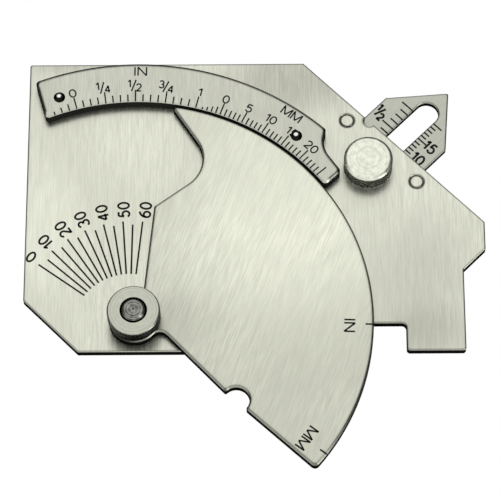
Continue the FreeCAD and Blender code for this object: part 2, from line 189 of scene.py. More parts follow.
# Brushing: straight fine lines, broad streaks and slow clouds
BRUSH_LINE = (4.0, 0.24)    # length and width of a fine line
STREAK = (2.6, 4.5)         # how much longer and wider a streak is
CLOUDS_PER_MM = 0.045
FINE_SHARE = 0.7            # of the fine lines in the grain, beside the streaks
CLOUD_SHARE = 0.5           # of the duller tone where a cloud is densest
CLOUD_TONE = 0.88
MOST_NOISE = (0.3, 0.7)     # where most of the brushing's noise lies
BRUSH_DULLING = 0.06        # added roughness on the brighter lines
BRUSH_BUMP = 0.12

# Turning: rings that drift a little, and scuffs over them
DRIFTS_PER_MM = 0.25
DRIFT = 0.7                 # in rings
SCUFFS_PER_MM = 0.8
MOST_RINGS = (0.37, 0.63)   # where most of the turning's noise lies
RING_DULLING = 0.1
RELIEF = 0.02               # depth of rings and of brush lines

# Knurled and etched surfaces
KNURL_SPARKLES = 3500.0     # painted sparkle of the diamonds, speckles to the metre
KNURL_NOISE = (0.4, 0.62)   # of the painted sparkle's dark speckles and of its bright ones
DARK_SPECKLE = 0.1          # share of the colour that is left in one
GROOVE_DARK_FULL = 0.6             # depth of a groove, as a share, where the dark groove colour covers the steel
KNURL_ROUGHNESS = (0.26, 0.38)
ETCH_SPECKLES = 4000.0

# Painted shade beside the edges, a dark outline along them
RIM_OPENNESS = (0.75, 0.99)     # room inside the piece at an outer edge, and away from it
PIN_SPARED_R = 3.2          # round a pin the scale has no painted edge shade
PIN_FADE = (0.1, 0.3)       # the mask round a pin, where the painted edge shade thins out and where it ends
SCALE_CLEAN_R = 53.4        # inside this radius the scale has no painted edge shade either
CLEAN_FADE = 0.8
FLATTEST_WALL = 0.5         # the direction that a wall faces rises less than this
STEEPEST_FACE = 0.65        # and that of a face more than this
PAINTED_GLINT_ASIDE = (-0.12, 0.22)     # a pin's painted glint from its middle

# Painted highlights and painted shade in soft patches: x, y, radius along x, radius along y, factor
PLATE_PAINTED_LIGHT = (
    (-20.0, 23.0, 16.0, 26.0, 1.15),
    (0.0, 40.0, 18.0, 18.0, 1.06),
    (-14.0, 63.0, 18.0, 7.0, 0.78),
    (34.0, 58.0, 26.0, 14.0, 0.72),
    (62.0, 8.0, 20.0, 24.0, 0.88),
    (62.0, -3.0, 18.0, 11.0, 0.82),
)
CAM_PAINTED_LIGHT = (
    (34.0, 24.0, 48.0, 46.0, 1.35),
    (17.0, 45.0, 16.0, 14.0, 1.07),
    (8.0, 0.0, 14.0, 12.0, 0.9),
    (-2.5, -4.5, 6.5, 5.0, 0.1),        # painted shade on the boss's edge beside the nut
)

# Camera, as the gauge was photographed
PHOTO_PX = 500
FOCAL_PX = 2892.1
SENSOR_MM = 36.0
VIEW_AZIMUTH = 0.9173
VIEW_ELEVATION = 66.184
VIEW_ROLL = -1.1685
VIEW_FROM = 0.6273          # metres from the point that it aims at
AIM = (24.8, 16.75)
CLIP = (0.01, 20.0)         # metres

# Studio, in metres
FLOOR_HALF = 3.0
FLOOR_MIRRORED = 0.03       # how bright the floor is in the metal
HORIZON_LEVEL = 0.05
LAMP_SIZE = 0.25
LAMP_POWER = 0.7
LAMP_AT = (0.5, -0.35, 0.18)

# Bright parts of the sky: direction, cosines at which one starts and is full, level
CEILING = ((0.0, 0.5, 0.866), 0.62, 0.95, 1.035)
FRONT_LIGHT = ((-0.25, -0.71, 0.66), 0.3, 0.75, 0.9)


def middle(node):
    """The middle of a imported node, seen from above, in millimetres."""
    low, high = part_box(node)
    return (low.xy + high.xy) / 2 / MM


def half_width(node):
    low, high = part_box(node)
    return (high.x - low.x) / 2 / MM


def top(node):
    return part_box(node)[1].z / MM


def bottom(node):
    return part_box(node)[0].z / MM


PIVOT = middle("pivot_washer")
LOCK = middle("lock_screw")
PLATE_FACE = top("main_plate")
CAM_FACE = top("cam")
SCALE_FACE = top("arc_scale")
BLADE_FACE = top("throat_blade")


def polar(radius, degrees, centre=(0.0, 0.0)):
    angle = math.radians(degrees)
    return (centre[0] + radius * math.cos(angle), centre[1] + radius * math.sin(angle))


def turned_about(at, degrees, x, y):
    """A point (x, y) of a drawing that is turned and placed at a point."""
    c, s = polar(1.0, degrees)
    return (at[0] + x * c - y * s, at[1] + x * s + y * c)


def object_from(mesh, name, materials):
    """A new object in the scene from a finished bmesh, with its materials in order."""
    data = bpy.data.meshes.new(name)
    mesh.to_mesh(data)
    mesh.free()
    for material in materials:
        data.materials.append(material)
    piece = bpy.data.objects.new(name, data)
    bpy.context.scene.collection.objects.link(piece)
    return piece


# Shader helpers


def add(tree, kind, inputs=None, **settings):
    """A new node with its settings, and with each named input linked or set."""
    made = tree.nodes.new(kind)
    for key, value in settings.items():
        setattr(made, key, value)
    for key, value in (inputs or {}).items():
        if isinstance(value, bpy.types.NodeSocket):
            tree.links.new(value, made.inputs[key])
        else:
            made.inputs[key].default_value = value
    return made


def use(tree, group, inputs=None):
    """The outputs of a node group that is placed with its own values."""
    return add(tree, "ShaderNodeGroup", inputs, node_tree=group).outputs


def calc(tree, operation, first, second=0.0):
    return add(tree, "ShaderNodeMath", {0: first, 1: second}, operation=operation).outputs[0]


def vector_calc(tree, operation, first, second):
    inputs = {0: first, 1: second}
    return add(tree, "ShaderNodeVectorMath", inputs, operation=operation).outputs[0]


def stretch(tree, vector, factor):
    inputs = {0: vector, "Scale": factor}
    return add(tree, "ShaderNodeVectorMath", inputs, operation="SCALE").outputs[0]


def length_of(tree, vector):
    return add(tree, "ShaderNodeVectorMath", {0: vector}, operation="LENGTH").outputs["Value"]


def remap(tree, value, source, target=(0.0, 1.0)):
    """A value carried smoothly from one range to another, and held at the ends."""
    inputs = {"Value": value, "From Min": source[0], "From Max": source[1],
              "To Min": target[0], "To Max": target[1]}
    return add(tree, "ShaderNodeMapRange", inputs, interpolation_type="SMOOTHSTEP").outputs[0]


def noise(tree, place, scale, detail=2.0, roughness=0.5):
    inputs = {"Vector": place, "Scale": scale, "Detail": detail, "Roughness": roughness}
    return add(tree, "ShaderNodeTexNoise", inputs).outputs["Fac"]


def object_place(tree):
    return add(tree, "ShaderNodeTexCoord").outputs["Object"]


def blend_colours(tree, factor, first, second):
    mix = add(tree, "ShaderNodeMix", {"Factor": factor}, data_type="RGBA")
    for socket, value in ((mix.inputs[6], first), (mix.inputs[7], second)):
        if isinstance(value, bpy.types.NodeSocket):
            tree.links.new(value, socket)
        else:
            socket.default_value = (*value, 1.0)
    return mix.outputs[2]


def scaled(colour, factor):
    return tuple(channel * factor for channel in colour)


def on_gauge(x, y):
    """A place on the gauge's face in metres, as a shader takes it."""
    return ((PIVOT.x + x) * MM, (PIVOT.y + y) * MM, 0.0)


# Node groups that several materials share


def new_group(name, inputs, outputs):
    """An empty node group with its inputs as {name: value} and its outputs by name."""
    group = bpy.data.node_groups.new(name, "ShaderNodeTree")
    for key, value in inputs.items():
        kind = "NodeSocketVector" if isinstance(value, tuple) else "NodeSocketFloat"
        socket = group.interface.new_socket(key, in_out="INPUT", socket_type=kind)
        socket.default_value = value
    for key in outputs:
        group.interface.new_socket(key, in_out="OUTPUT", socket_type="NodeSocketFloat")
    given = group.nodes.new("NodeGroupInput").outputs
    result = group.nodes.new("NodeGroupOutput").inputs
    return group, given, result


def brushing_group():
    """Straight brush lines: fine ones, broad streaks, and the slow unevenness of a sheet."""
    group, given, result = new_group(
        "brushing", {"Degrees": 90.0, "Line Length": 6.0, "Line Width": 0.3},
        ("Lines", "Streaks", "Clouds"))
    in_mm = stretch(group, object_place(group), 1 / MM)
    turn = calc(group, "MULTIPLY", given["Degrees"], -math.pi / 180)
    along = add(group, "ShaderNodeVectorRotate", {"Vector": in_mm, "Angle": turn},
                rotation_type="Z_AXIS").outputs[0]
    parts = add(group, "ShaderNodeSeparateXYZ", {0: along}).outputs

    def streaks(longer, wider, detail):
        length = calc(group, "MULTIPLY", given["Line Length"], longer)
        width = calc(group, "MULTIPLY", given["Line Width"], wider)
        shares = {part: calc(group, "DIVIDE", parts[part], size)
                  for part, size in (("X", length), ("Y", width), ("Z", width))}
        spot = add(group, "ShaderNodeCombineXYZ", shares).outputs[0]
        return noise(group, spot, 1.0, detail, 0.6)

    group.links.new(streaks(1.0, 1.0, 3.0), result["Lines"])
    group.links.new(streaks(*STREAK, 2.0), result["Streaks"])
    group.links.new(noise(group, in_mm, CLOUDS_PER_MM), result["Clouds"])
    return group


def turning_group():
    """Rings left by the lathe about an axis that is parallel to Z, and the radius in mm."""
    group, given, result = new_group(
        "turning", {"Centre": (0.0, 0.0, 0.0), "Pitch": 0.35, "Scuffs": 0.45},
        ("Rings", "Radius"))
    offset = vector_calc(group, "SUBTRACT", object_place(group), given["Centre"])
    flat = vector_calc(group, "MULTIPLY", offset, (1 / MM, 1 / MM, 0.0))
    radius = length_of(group, flat)
    drift = calc(group, "MULTIPLY", noise(group, flat, DRIFTS_PER_MM), DRIFT)
    ring = calc(group, "ADD", calc(group, "DIVIDE", radius, given["Pitch"]), drift)
    rings = add(group, "ShaderNodeTexNoise", {"W": ring, "Scale": 1.0, "Detail": 2.0},
                noise_dimensions="1D").outputs["Fac"]
    scuffs = noise(group, flat, SCUFFS_PER_MM, 4.0)
    mixed = add(group, "ShaderNodeMix", {"Factor": given["Scuffs"], 2: rings, 3: scuffs})
    group.links.new(mixed.outputs[0], result["Rings"])
    group.links.new(radius, result["Radius"])
    return group


def walls_group():
    """1 on the upright walls of a sheet part and 0 on its two flat faces."""
    group, _, result = new_group("walls", {}, ("Wall",))
    facing = add(group, "ShaderNodeTexCoord").outputs["Normal"]
    rise = calc(group, "ABSOLUTE", add(group, "ShaderNodeSeparateXYZ", {0: facing}).outputs["Z"])
    group.links.new(remap(group, rise, (FLATTEST_WALL, STEEPEST_FACE), (1.0, 0.0)), result["Wall"])
    return group


def patch_group():
    """A soft round or long patch on a face: 1 in its middle and 0 outside its two radii."""
    group, given, result = new_group(
        "patch", {"Centre": (0.0, 0.0, 0.0), "Radii": (1.0, 1.0, 1.0)}, ("Mask",))
    offset = vector_calc(group, "SUBTRACT", object_place(group), given["Centre"])
    reach = vector_calc(group, "DIVIDE", offset, given["Radii"])
    flat = vector_calc(group, "MULTIPLY", reach, (1.0, 1.0, 0.0))
    mask = remap(group, length_of(group, flat), (0.0, 1.0), (1.0, 0.0))
    group.links.new(mask, result["Mask"])
    return group


def rim_group():
    """1 beside an outer edge of a piece, fading to 0 within the reach (in metres)."""
    group, given, result = new_group("rim", {"Reach": 0.6 * MM}, ("Mask",))
    depth = add(group, "ShaderNodeAmbientOcclusion", {"Distance": given["Reach"]}, inside=True,
                only_local=True, samples=16).outputs["AO"]
    group.links.new(remap(group, depth, RIM_OPENNESS, (1.0, 0.0)), result["Mask"])
    return group


BRUSHING = brushing_group()
TURNING = turning_group()
WALLS = walls_group()
PATCH = patch_group()
RIM = rim_group()


# Materials


def new_material(name):
    """A material, its tree and its Principled shader."""
    material = bpy.data.materials.new(name)
    material.use_nodes = True
    tree = material.node_tree
    return material, tree, tree.nodes["Principled BSDF"]


def relief(tree, shader, height, strength):
    """Brush lines or turning marks that are felt in the reflections."""
    inputs = {"Strength": strength, "Distance": RELIEF * MM, "Height": height}
    tree.links.new(add(tree, "ShaderNodeBump", inputs).outputs[0], shader.inputs["Normal"])


def patch_mask(tree, x, y, reach_x, reach_y):
    radii = (reach_x * MM, reach_y * MM, 1.0)
    return use(tree, PATCH, {"Centre": on_gauge(x, y), "Radii": radii})["Mask"]


def with_patches(tree, face, painted_light):
    """A face's colour, with painted highlights and painted shade in soft patches."""
    for x, y, reach_x, reach_y, factor in painted_light:
        mask = patch_mask(tree, x, y, reach_x, reach_y)
        face = stretch(tree, face, remap(tree, mask, (0.0, 1.0), (1.0, factor)))
    return face


def edge_wear(tree, reach, share, pins, clean_within):
    """How far the painted shade beside a piece's edges covers its face.

    It spares the surroundings of the pins, and what lies within a radius about the pivot.
    """
    edge_shade = use(tree, RIM, {"Reach": reach * MM})["Mask"]
    for x, y in pins:
        spared = patch_mask(tree, x, y, PIN_SPARED_R, PIN_SPARED_R)
        edge_shade = calc(tree, "MULTIPLY", edge_shade, remap(tree, spared, PIN_FADE, (1.0, 0.0)))
    if clean_within:
        radius = use(tree, TURNING, {"Centre": on_gauge(0.0, 0.0)})["Radius"]
        kept = remap(tree, radius, (clean_within - CLEAN_FADE, clean_within))
        edge_shade = calc(tree, "MULTIPLY", edge_shade, kept)
    return calc(tree, "MULTIPLY", edge_shade, share)


def sheet_steel(name, colour, degrees, contrast=0.17, roughness=0.28, wall=0.012,
                rim=(0.6, 0.75), painted_light=(), pins=(), clean_within=0.0):
    """Brushed sheet steel with painted shade beside its edges and on its sheared walls.

    `wall` is the share of the colour that is left on the walls, which are painted near black and not
    metallic. `rim` is the reach of the painted edge shade in millimetres and how much it darkens
    the face. `painted_light` holds soft patches of painted highlights and painted shade.
    """
    material, tree, shader = new_material(name)
    brush = use(tree, BRUSHING, {"Degrees": degrees, "Line Length": BRUSH_LINE[0],
                                 "Line Width": BRUSH_LINE[1]})
    lines = calc(tree, "MULTIPLY", brush["Lines"], FINE_SHARE)
    streaks = calc(tree, "MULTIPLY", brush["Streaks"], 1 - FINE_SHARE)
    mixed = calc(tree, "ADD", lines, streaks)
    grain = remap(tree, mixed, MOST_NOISE)
    face = blend_colours(tree, grain, scaled(colour, 1 - contrast), scaled(colour, 1 + contrast))
    cloud = remap(tree, brush["Clouds"], MOST_NOISE)
    dulled = calc(tree, "MULTIPLY", cloud, CLOUD_SHARE)
    face = blend_colours(tree, dulled, face, scaled(colour, CLOUD_TONE))
    # Painted highlights and painted shade in soft patches.
    face = with_patches(tree, face, painted_light)
    # Painted shade: beside its outer edges the face turns near black.
    edge_shade = edge_wear(tree, *rim, pins, clean_within)
    face = blend_colours(tree, edge_shade, face, EDGE_SHADE_COLOUR)
    # Painted shade: the upright walls keep a small share of the colour and lose their metal, so they
    # look black.
    shaded_wall = use(tree, WALLS)["Wall"]
    coloured = blend_colours(tree, shaded_wall, face, scaled(colour, wall))
    tree.links.new(coloured, shader.inputs["Base Color"])
    tree.links.new(calc(tree, "SUBTRACT", 1.0, shaded_wall), shader.inputs["Metallic"])
    shader.inputs["Specular IOR Level"].default_value = 0.0
    polish = calc(tree, "ADD", calc(tree, "MULTIPLY", grain, BRUSH_DULLING), roughness)
    tree.links.new(polish, shader.inputs["Roughness"])
    relief(tree, shader, mixed, BRUSH_BUMP)
    return material


def turned_steel(name, colour, centre=(0.0, 0.0), pitch=0.35, contrast=0.08, roughness=0.3,
                 bump=0.3, tones=(), scuffs=0.45):
    """Turned or faced steel with rings about its axis.

    Each of `tones` is (from radius, to radius, colour): the colour takes over between the two.
    """
    material, tree, shader = new_material(name)
    marks = use(tree, TURNING, {"Centre": (centre[0] * MM, centre[1] * MM, 0.0), "Pitch": pitch,
                                "Scuffs": scuffs})
    rings = remap(tree, marks["Rings"], MOST_RINGS)
    face = blend_colours(tree, rings, scaled(colour, 1 - contrast), scaled(colour, 1 + contrast))
    for start, end, tone in tones:
        face = blend_colours(tree, remap(tree, marks["Radius"], (start, end)), face, tone)
    tree.links.new(face, shader.inputs["Base Color"])
    polish = calc(tree, "ADD", calc(tree, "MULTIPLY", rings, RING_DULLING), roughness)
    tree.links.new(polish, shader.inputs["Roughness"])
    relief(tree, shader, rings, bump)
    shader.inputs["Metallic"].default_value = 1.0
    return material


def knurled_steel(name, colour):
    """Rolled diamonds: a painted sparkle in speckles, and darker in the grooves."""
    material, tree, shader = new_material(name)
    # Painted sparkle: random bright and dark speckles stand in for the light the diamonds catch.
    speckle = noise(tree, object_place(tree), KNURL_SPARKLES)
    tone = remap(tree, speckle, KNURL_NOISE)
    face = blend_colours(tree, tone, scaled(colour, DARK_SPECKLE), colour)
    groove = add(tree, "ShaderNodeAttribute", attribute_name="groove").outputs["Fac"]
    darkening = remap(tree, groove, (0.0, GROOVE_DARK_FULL))
    face = blend_colours(tree, darkening, face, GROOVE_DARK)
    tree.links.new(face, shader.inputs["Base Color"])
    polish = remap(tree, tone, (0.0, 1.0), KNURL_ROUGHNESS)
    tree.links.new(polish, shader.inputs["Roughness"])
    shader.inputs["Metallic"].default_value = 1.0
    return material


def mark_black():
    """Etched and blackened lines."""
    material, tree, shader = new_material("mark_black")
    speckle = noise(tree, object_place(tree), ETCH_SPECKLES)
    tree.links.new(blend_colours(tree, speckle, *ETCH_BLACKS), shader.inputs["Base Color"])
    shader.inputs["Roughness"].default_value = 0.65
    shader.inputs["Specular IOR Level"].default_value = 0.2
    return material


# Etched characters: strokes of straight and round stretches, one unit high


def arc(x, y, rx, ry, start, end):
    """Points on an ellipse from one angle to another."""
    count = max(2, round(abs(end - start) / ARC_STEP))
    angles = (math.radians(start + (end - start) * i / count) for i in range(count + 1))
    return [(x + rx * math.cos(a), y + ry * math.sin(a)) for a in angles]


def ring(x, y, rx, ry):
    return arc(x, y, rx, ry, 0, 360 - ARC_STEP)


# Each character: its width, its open strokes and its closed strokes
CHARACTERS = {
    "0": (0.60, [], [ring(0.30, 0.5, 0.30, 0.5)]),
    "1": (0.30, [[(0.0, 0.76), (0.26, 1.0)], [(0.26, 1.04), (0.26, 0.0)]], []),
    "2": (0.58, [arc(0.29, 0.71, 0.27, 0.29, 165, -38) + [(0.02, 0.0)],
                 [(-0.02, 0.0), (0.58, 0.0)]], []),
    "3": (0.58, [arc(0.28, 0.755, 0.25, 0.245, 160, -88),
                 arc(0.28, 0.265, 0.29, 0.265, 90, -160)], []),
    "4": (0.62, [[(0.46, 0.0), (0.46, 1.0)], [(0.46, 1.0), (0.0, 0.29)],
                 [(0.0, 0.29), (0.62, 0.29)]], []),
    "5": (0.58, [[(0.53, 1.0), (0.11, 1.0)], [(0.12, 1.0), (0.05, 0.5)],
                 arc(0.28, 0.32, 0.29, 0.32, 142, -155)], []),
    "6": (0.60, [arc(0.58, 0.32, 0.56, 0.68, 180, 95)], [ring(0.30, 0.30, 0.28, 0.30)]),
    "I": (0.10, [[(0.05, 0.0), (0.05, 1.0)]], []),
    "N": (0.66, [[(0.0, 0.0), (0.0, 1.0)], [(0.0, 1.0), (0.66, 0.0)],
                 [(0.66, 0.0), (0.66, 1.0)]], []),
    "M": (0.84, [[(0.0, 0.0), (0.0, 1.0)], [(0.0, 1.0), (0.42, 0.05)],
                 [(0.42, 0.05), (0.84, 1.0)], [(0.84, 1.0), (0.84, 0.0)]], []),
}


class Marks:
    """Etched lines on one flat face, gathered in one mesh."""

    def __init__(self, face):
        self.face = face
        self.mesh = bmesh.new()

    def line(self, path, width, closed=False):
        """A thin raised line of even width along a path of (x, y) points.

        A third number, where a point has one, is how far the point lies below the face.
        """
        count = len(path)
        rows = []
        for i, here in enumerate(path):
            before = path[i - 1] if closed or i else here
            after = path[(i + 1) % count] if closed or i < count - 1 else here
            along = Vector((after[0] - before[0], after[1] - before[1])).normalized()
            aside = Vector((-along.y, along.x)) * width / 2
            row = []
            for side, rise in ((1, MARK_RISE), (-1, MARK_RISE), (-1, 0.0), (1, 0.0)):
                spot = PIVOT + Vector(here[:2]) + aside * side
                height = self.face + rise - sum(here[2:])
                row.append(self.mesh.verts.new((spot.x * MM, spot.y * MM, height * MM)))
            rows.append(row)
        pairs = list(zip(rows, rows[1:])) + ([(rows[-1], rows[0])] if closed else [])
        for first, second in pairs:
            for i in range(4):
                j = (i + 1) % 4
                self.mesh.faces.new((first[i], first[j], second[j], second[i]))
        if not closed:
            self.mesh.faces.new(rows[0][::-1])
            self.mesh.faces.new(rows[-1])

    def write(self, text, at, degrees, height, weight, spread=1.0):
        """Characters centred on a point, turned by an angle from the reading direction +X."""
        wide = sum(CHARACTERS[c][0] for c in text) * spread + LETTER_GAP * (len(text) - 1)
        x = -wide / 2
        for character in text:
            width, strokes, loops = CHARACTERS[character]
            for closed, group in ((False, strokes), (True, loops)):
                for stroke in group:
                    path = [turned_about(at, degrees, (x + px * spread) * height,
                                         (py - 0.5) * height) for px, py in stroke]
                    self.line(path, weight, closed)
            x += width * spread + LETTER_GAP

    def write_fraction(self, over, under, at, degrees, height, weight, apart=0.6, step=0.28):
        """A fraction with a slanted stroke, its lower figure to the right of the upper one."""
        for figure, side in ((over, -1), (under, 1)):
            spot = turned_about(at, degrees, side * apart * height, -side * step * height)
            self.write(figure, spot, degrees, height, weight)
        slash = [turned_about(at, degrees, x * height, y * height) for x, y in SLASH]
        self.line(slash, weight)

    def tick(self, degrees, inner, outer, width, centre):
        self.line([polar(inner, degrees, centre), polar(outer, degrees, centre)], width)

    def edge_tick(self, degrees, edge, outward, end, width, drop=SLOPE):
        """A tick from a round face's broken edge, also down its slope, to the end radius."""
        foot = (*polar(edge + outward * SLOPE, degrees), drop)
        self.line([foot, polar(edge, degrees), polar(end, degrees)], width)

    def place(self, name, body, material):
        bmesh.ops.recalc_face_normals(self.mesh, faces=self.mesh.faces)
        piece = object_from(self.mesh, name, [material])
        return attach(piece, body)


def index_turn(height):
    """Degrees that the cam turns back while its pointer rises from the feet by a height."""
    zero = math.asin(AXIS_OVER_FEET / POINTER_R)
    return math.degrees(zero + math.asin((height - AXIS_OVER_FEET) / POINTER_R))


def curved_scale_marks(material):
    """Inch and millimetre ticks along the cam's rim, with their figures."""
    marks = Marks(SCALE_FACE)
    for zero_deg, step, last, longs, before in GRADUATIONS:
        for i in range(-before, last + 1):
            outer = SHORT_TICK_R if i % longs else LONG_TICK_R
            if i < 0:
                outer = RUN_IN_R[-i - 1]
            degrees = zero_deg - index_turn(i * step)
            marks.edge_tick(degrees, RIM_R, -1, outer, TICK_W, HOLLOW_DROP)

    def figure_at(zero_deg, height):
        degrees = zero_deg - index_turn(height)
        return polar(LABEL_R, degrees), degrees - 90

    for text, height in (("0", 0.0), ("1", INCH)):
        at, turn = figure_at(INCH_ZERO_DEG, height)
        marks.write(text, at, turn, SCALE_LETTER, SCALE_WEIGHT, INCH_SPREAD)
    for over, under, height in (("1", "4", 0.25), ("1", "2", 0.5), ("3", "4", 0.75)):
        at, turn = figure_at(INCH_ZERO_DEG, height * INCH)
        at = turned_about(at, turn, -FRACTION_BACK, 0.0)
        marks.write_fraction(over, under, at, turn, FRACTION_LETTER, SCALE_WEIGHT)
    for reading in range(0, METRIC_LONGEST, 5):
        at, turn = figure_at(METRIC_ZERO_DEG, reading)
        marks.write(str(reading), at, turn, SCALE_LETTER, SCALE_WEIGHT, METRIC_SPREAD)
    for text, degrees, spread in UNIT_LABELS:
        at = polar(UNIT_R, degrees)
        marks.write(text, at, degrees - 90, UNIT_LETTER, SCALE_WEIGHT, spread)
    return marks.place("curved_scale_marks", "plate", material)


def angle_scale_marks(material):
    """The fan of lines for the bevel angle, every five degrees, with a figure at each ten."""
    marks = Marks(PLATE_FACE)
    for reading in range(0, FAN_LAST + 1, FAN_STEP):
        degrees = FAN_ZERO_DEG - reading
        outer = FAN_SHORT_R if reading % 10 else FAN_LONG_R
        marks.tick(degrees, FAN_INNER_R, outer, FAN_LINE_W, FAN_CENTRE)
        if reading % 10 == 0:
            at = polar(FAN_LABEL_R, degrees, FAN_LABEL_CENTRE)
            marks.write(str(reading), at, degrees, FAN_LETTER, FAN_WEIGHT)
    return marks.place("angle_scale_marks", "plate", material)


def cam_marks(material):
    """The cam's two index lines, each with its unit beside it."""
    marks = Marks(CAM_FACE)
    for degrees, unit, unit_at, spread in INDEX_LINES:
        marks.edge_tick(degrees, CAM_EDGE_R, 1, INDEX_END_R, INDEX_W)
        marks.write(unit, polar(*unit_at), degrees - 90, INDEX_LETTER, INDEX_W, spread)
    return marks.place("cam_index_marks", "cam", material)


def blade_marks(material):
    """Millimetres on one side of the blade's slot and sixteenths of an inch on the other."""
    marks = Marks(BLADE_FACE)
    turn = BLADE_AXIS_DEG - 90
    lock_at = LOCK - PIVOT
    lock_along = lock_at.dot(Vector(polar(1.0, BLADE_AXIS_DEG)))

    def on_blade(reading, across):
        along = BLADE_ZERO_ALONG + reading - lock_along
        return turned_about(lock_at, BLADE_AXIS_DEG, along, across - LOCK_ASIDE)

    def cross_tick(reading, side, length):
        edge = SLOT_W / 2 + SLOT_BREAK
        foot = (*on_blade(reading, side * (edge - SLOT_SLOPE)), SLOT_SLOPE)
        end = on_blade(reading, side * (SLOT_W / 2 + length))
        marks.line([foot, on_blade(reading, side * edge), end], BLADE_TICK_W)

    for reading in range(BLADE_METRIC_LAST + 1):
        cross_tick(reading, -1, BLADE_METRIC[bool(reading % 5)])
    for sixteenth in range(BLADE_SIXTEENTHS + 1):
        cross_tick(sixteenth * INCH / 16, 1, BLADE_INCH[bool(sixteenth % 4)])
    for reading in (0, 5, 10, 15):
        shift = TEN_LABEL_SHIFT if reading == 10 else BLADE_LABEL_SHIFT
        at = on_blade(reading + shift, -BLADE_LABEL_ACROSS)
        marks.write(str(reading), at, turn, BLADE_LETTER, BLADE_WEIGHT)
    for over, under, height in (("1", "4", 0.25), ("1", "2", 0.5)):
        at = on_blade(height * INCH + BLADE_FRACTION_SHIFT, BLADE_FRACTION_ACROSS)
        marks.write_fraction(over, under, at, turn, BLADE_FRACTION_LETTER, BLADE_WEIGHT,
                             BLADE_FRACTION_STEP, BLADE_FRACTION_STEP)
    return marks.place("blade_marks", "blade", material)


# Turned pieces


def diamond(around, along):
    """Height of the knurl: 0 in a groove and 1 on top of a diamond."""
    one_way = abs(2 * ((around + along) % 1.0) - 1)
    other_way = abs(2 * ((around - along) % 1.0) - 1)
    return min(1.0, KNURL_SHARP * (1 - max(one_way, other_way)))


def knurled_rows(profile, knurl):
    """A profile's rows as (radius, height, finish, cut), with more of them where it is cut."""
    rows = []
    for i, (radius, height, finish) in enumerate(profile):
        rows.append((radius, height, finish, False))
        after = profile[(i + 1) % len(profile)]
        if (height, after[1]) == knurl:
            tall = knurl[1] - knurl[0]
            steps = round(tall / (KNURL_PITCH / KNURL_STEPS))
            for k in range(1, steps):
                rows.append((radius, height + tall * k / steps, finish, True))
    return rows


def lathe(name, profile, at, knurl, materials):
    """A turned piece from its (radius, height, finish) profile.

    The profile closes on itself, or begins and ends on the axis. A finish picks the material
    of the stretch that starts there. Between the two heights of `knurl` the side has diamonds
    cut into it.
    """
    around = KNURL_STEPS * KNURLS_AROUND
    mesh = bmesh.new()
    groove = mesh.verts.layers.float.new("groove")
    rows = knurled_rows(profile, knurl)
    rings = []
    for radius, height, _, cut in rows:
        if radius == 0:
            rings.append([mesh.verts.new((0, 0, height * MM))])
            continue
        circle = []
        for k in range(around):
            angle = 2 * math.pi * k / around
            low = 1 - diamond(k / KNURL_STEPS, height / KNURL_PITCH) if cut else 0.0
            r = (radius - KNURL_DEEP * low) * MM
            vertex = mesh.verts.new((r * math.cos(angle), r * math.sin(angle), height * MM))
            vertex[groove] = low
            circle.append(vertex)
        rings.append(circle)
    hollow = profile[0][0] > 0
    for i in range(len(rings) if hollow else len(rings) - 1):
        here, after = rings[i], rings[(i + 1) % len(rings)]
        for k in range(around):
            j = (k + 1) % around
            corners = [here[k % len(here)], here[j % len(here)],
                       after[j % len(after)], after[k % len(after)]]
            face = mesh.faces.new(list(dict.fromkeys(corners)))
            face.material_index = rows[i][2]
            face.smooth = True
    bmesh.ops.recalc_face_normals(mesh, faces=mesh.faces)
    piece = object_from(mesh, name, materials)
    piece.data.set_sharp_from_angle(angle=math.radians(SMOOTH_DEG))
    piece.location = (at[0] * MM, at[1] * MM, 0.0)
    return piece


def knurled_nut(materials):
    """The cam's clamp nut: smooth foot, knurled rim, faced top with a countersunk bore."""
    low, high = bottom("clamp_nut"), top("clamp_nut")
    radius = half_width("clamp_nut")
    foot_top = low + NUT_FOOT_HIGH
    # The bottom and the foot take the dark knurl colour: painted shade under the nut.
    profile = [(NUT_BORE_R, low, KNURLED), (NUT_FOOT_R, low, KNURLED), (NUT_FOOT_R, foot_top, KNURLED)]
    profile += [(radius - inward, low + up, KNURLED) for inward, up in NUT_LOWER_EDGE]
    profile += [(radius - inward, high - down, FACED) for inward, down in NUT_SHOULDER]
    profile += [(NUT_SINK_R, high, SUNK), (NUT_BORE_R, high - NUT_SINK_DEEP, SUNK)]
    knurl = (low + NUT_LOWER_EDGE[-1][1], high - NUT_SHOULDER[0][1])
    piece = lathe("knurled_clamp_nut", profile, PIVOT, knurl, materials)
    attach(piece, "nut")
    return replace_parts(piece, "clamp_nut")


def knurled_lock_screw(materials):
    """The blade's thumb screw: shank, knurled head and a slightly domed, faced top."""
    low, high = bottom("lock_screw"), top("lock_screw")
    radius = half_width("lock_screw")
    knurl = (PLATE_FACE + KNOB_LIFT, high - KNOB_KNURL_DROP)
    profile = [
        (0.0, low, FACED), (SHANK_R - SHANK_BREAK, low, FACED),
        (SHANK_R, low + SHANK_BREAK, FACED), (SHANK_R, knurl[0], FACED),
        (radius, knurl[0], KNURLED), (radius, knurl[1], FACED),
    ]
    profile += [(radius - inward, high - down, FACED) for inward, down in KNOB_SHOULDER]
    profile += [(radius / 2, high, FACED), (0.0, high, FACED)]
    piece = lathe("knurled_lock_screw", profile, LOCK, knurl, materials)
    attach(piece, "lock")
    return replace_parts(piece, "lock_screw")


# Dressing


def finish_node(node, material):
    """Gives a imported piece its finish."""
    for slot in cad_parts[node].material_slots:
        slot.material = material


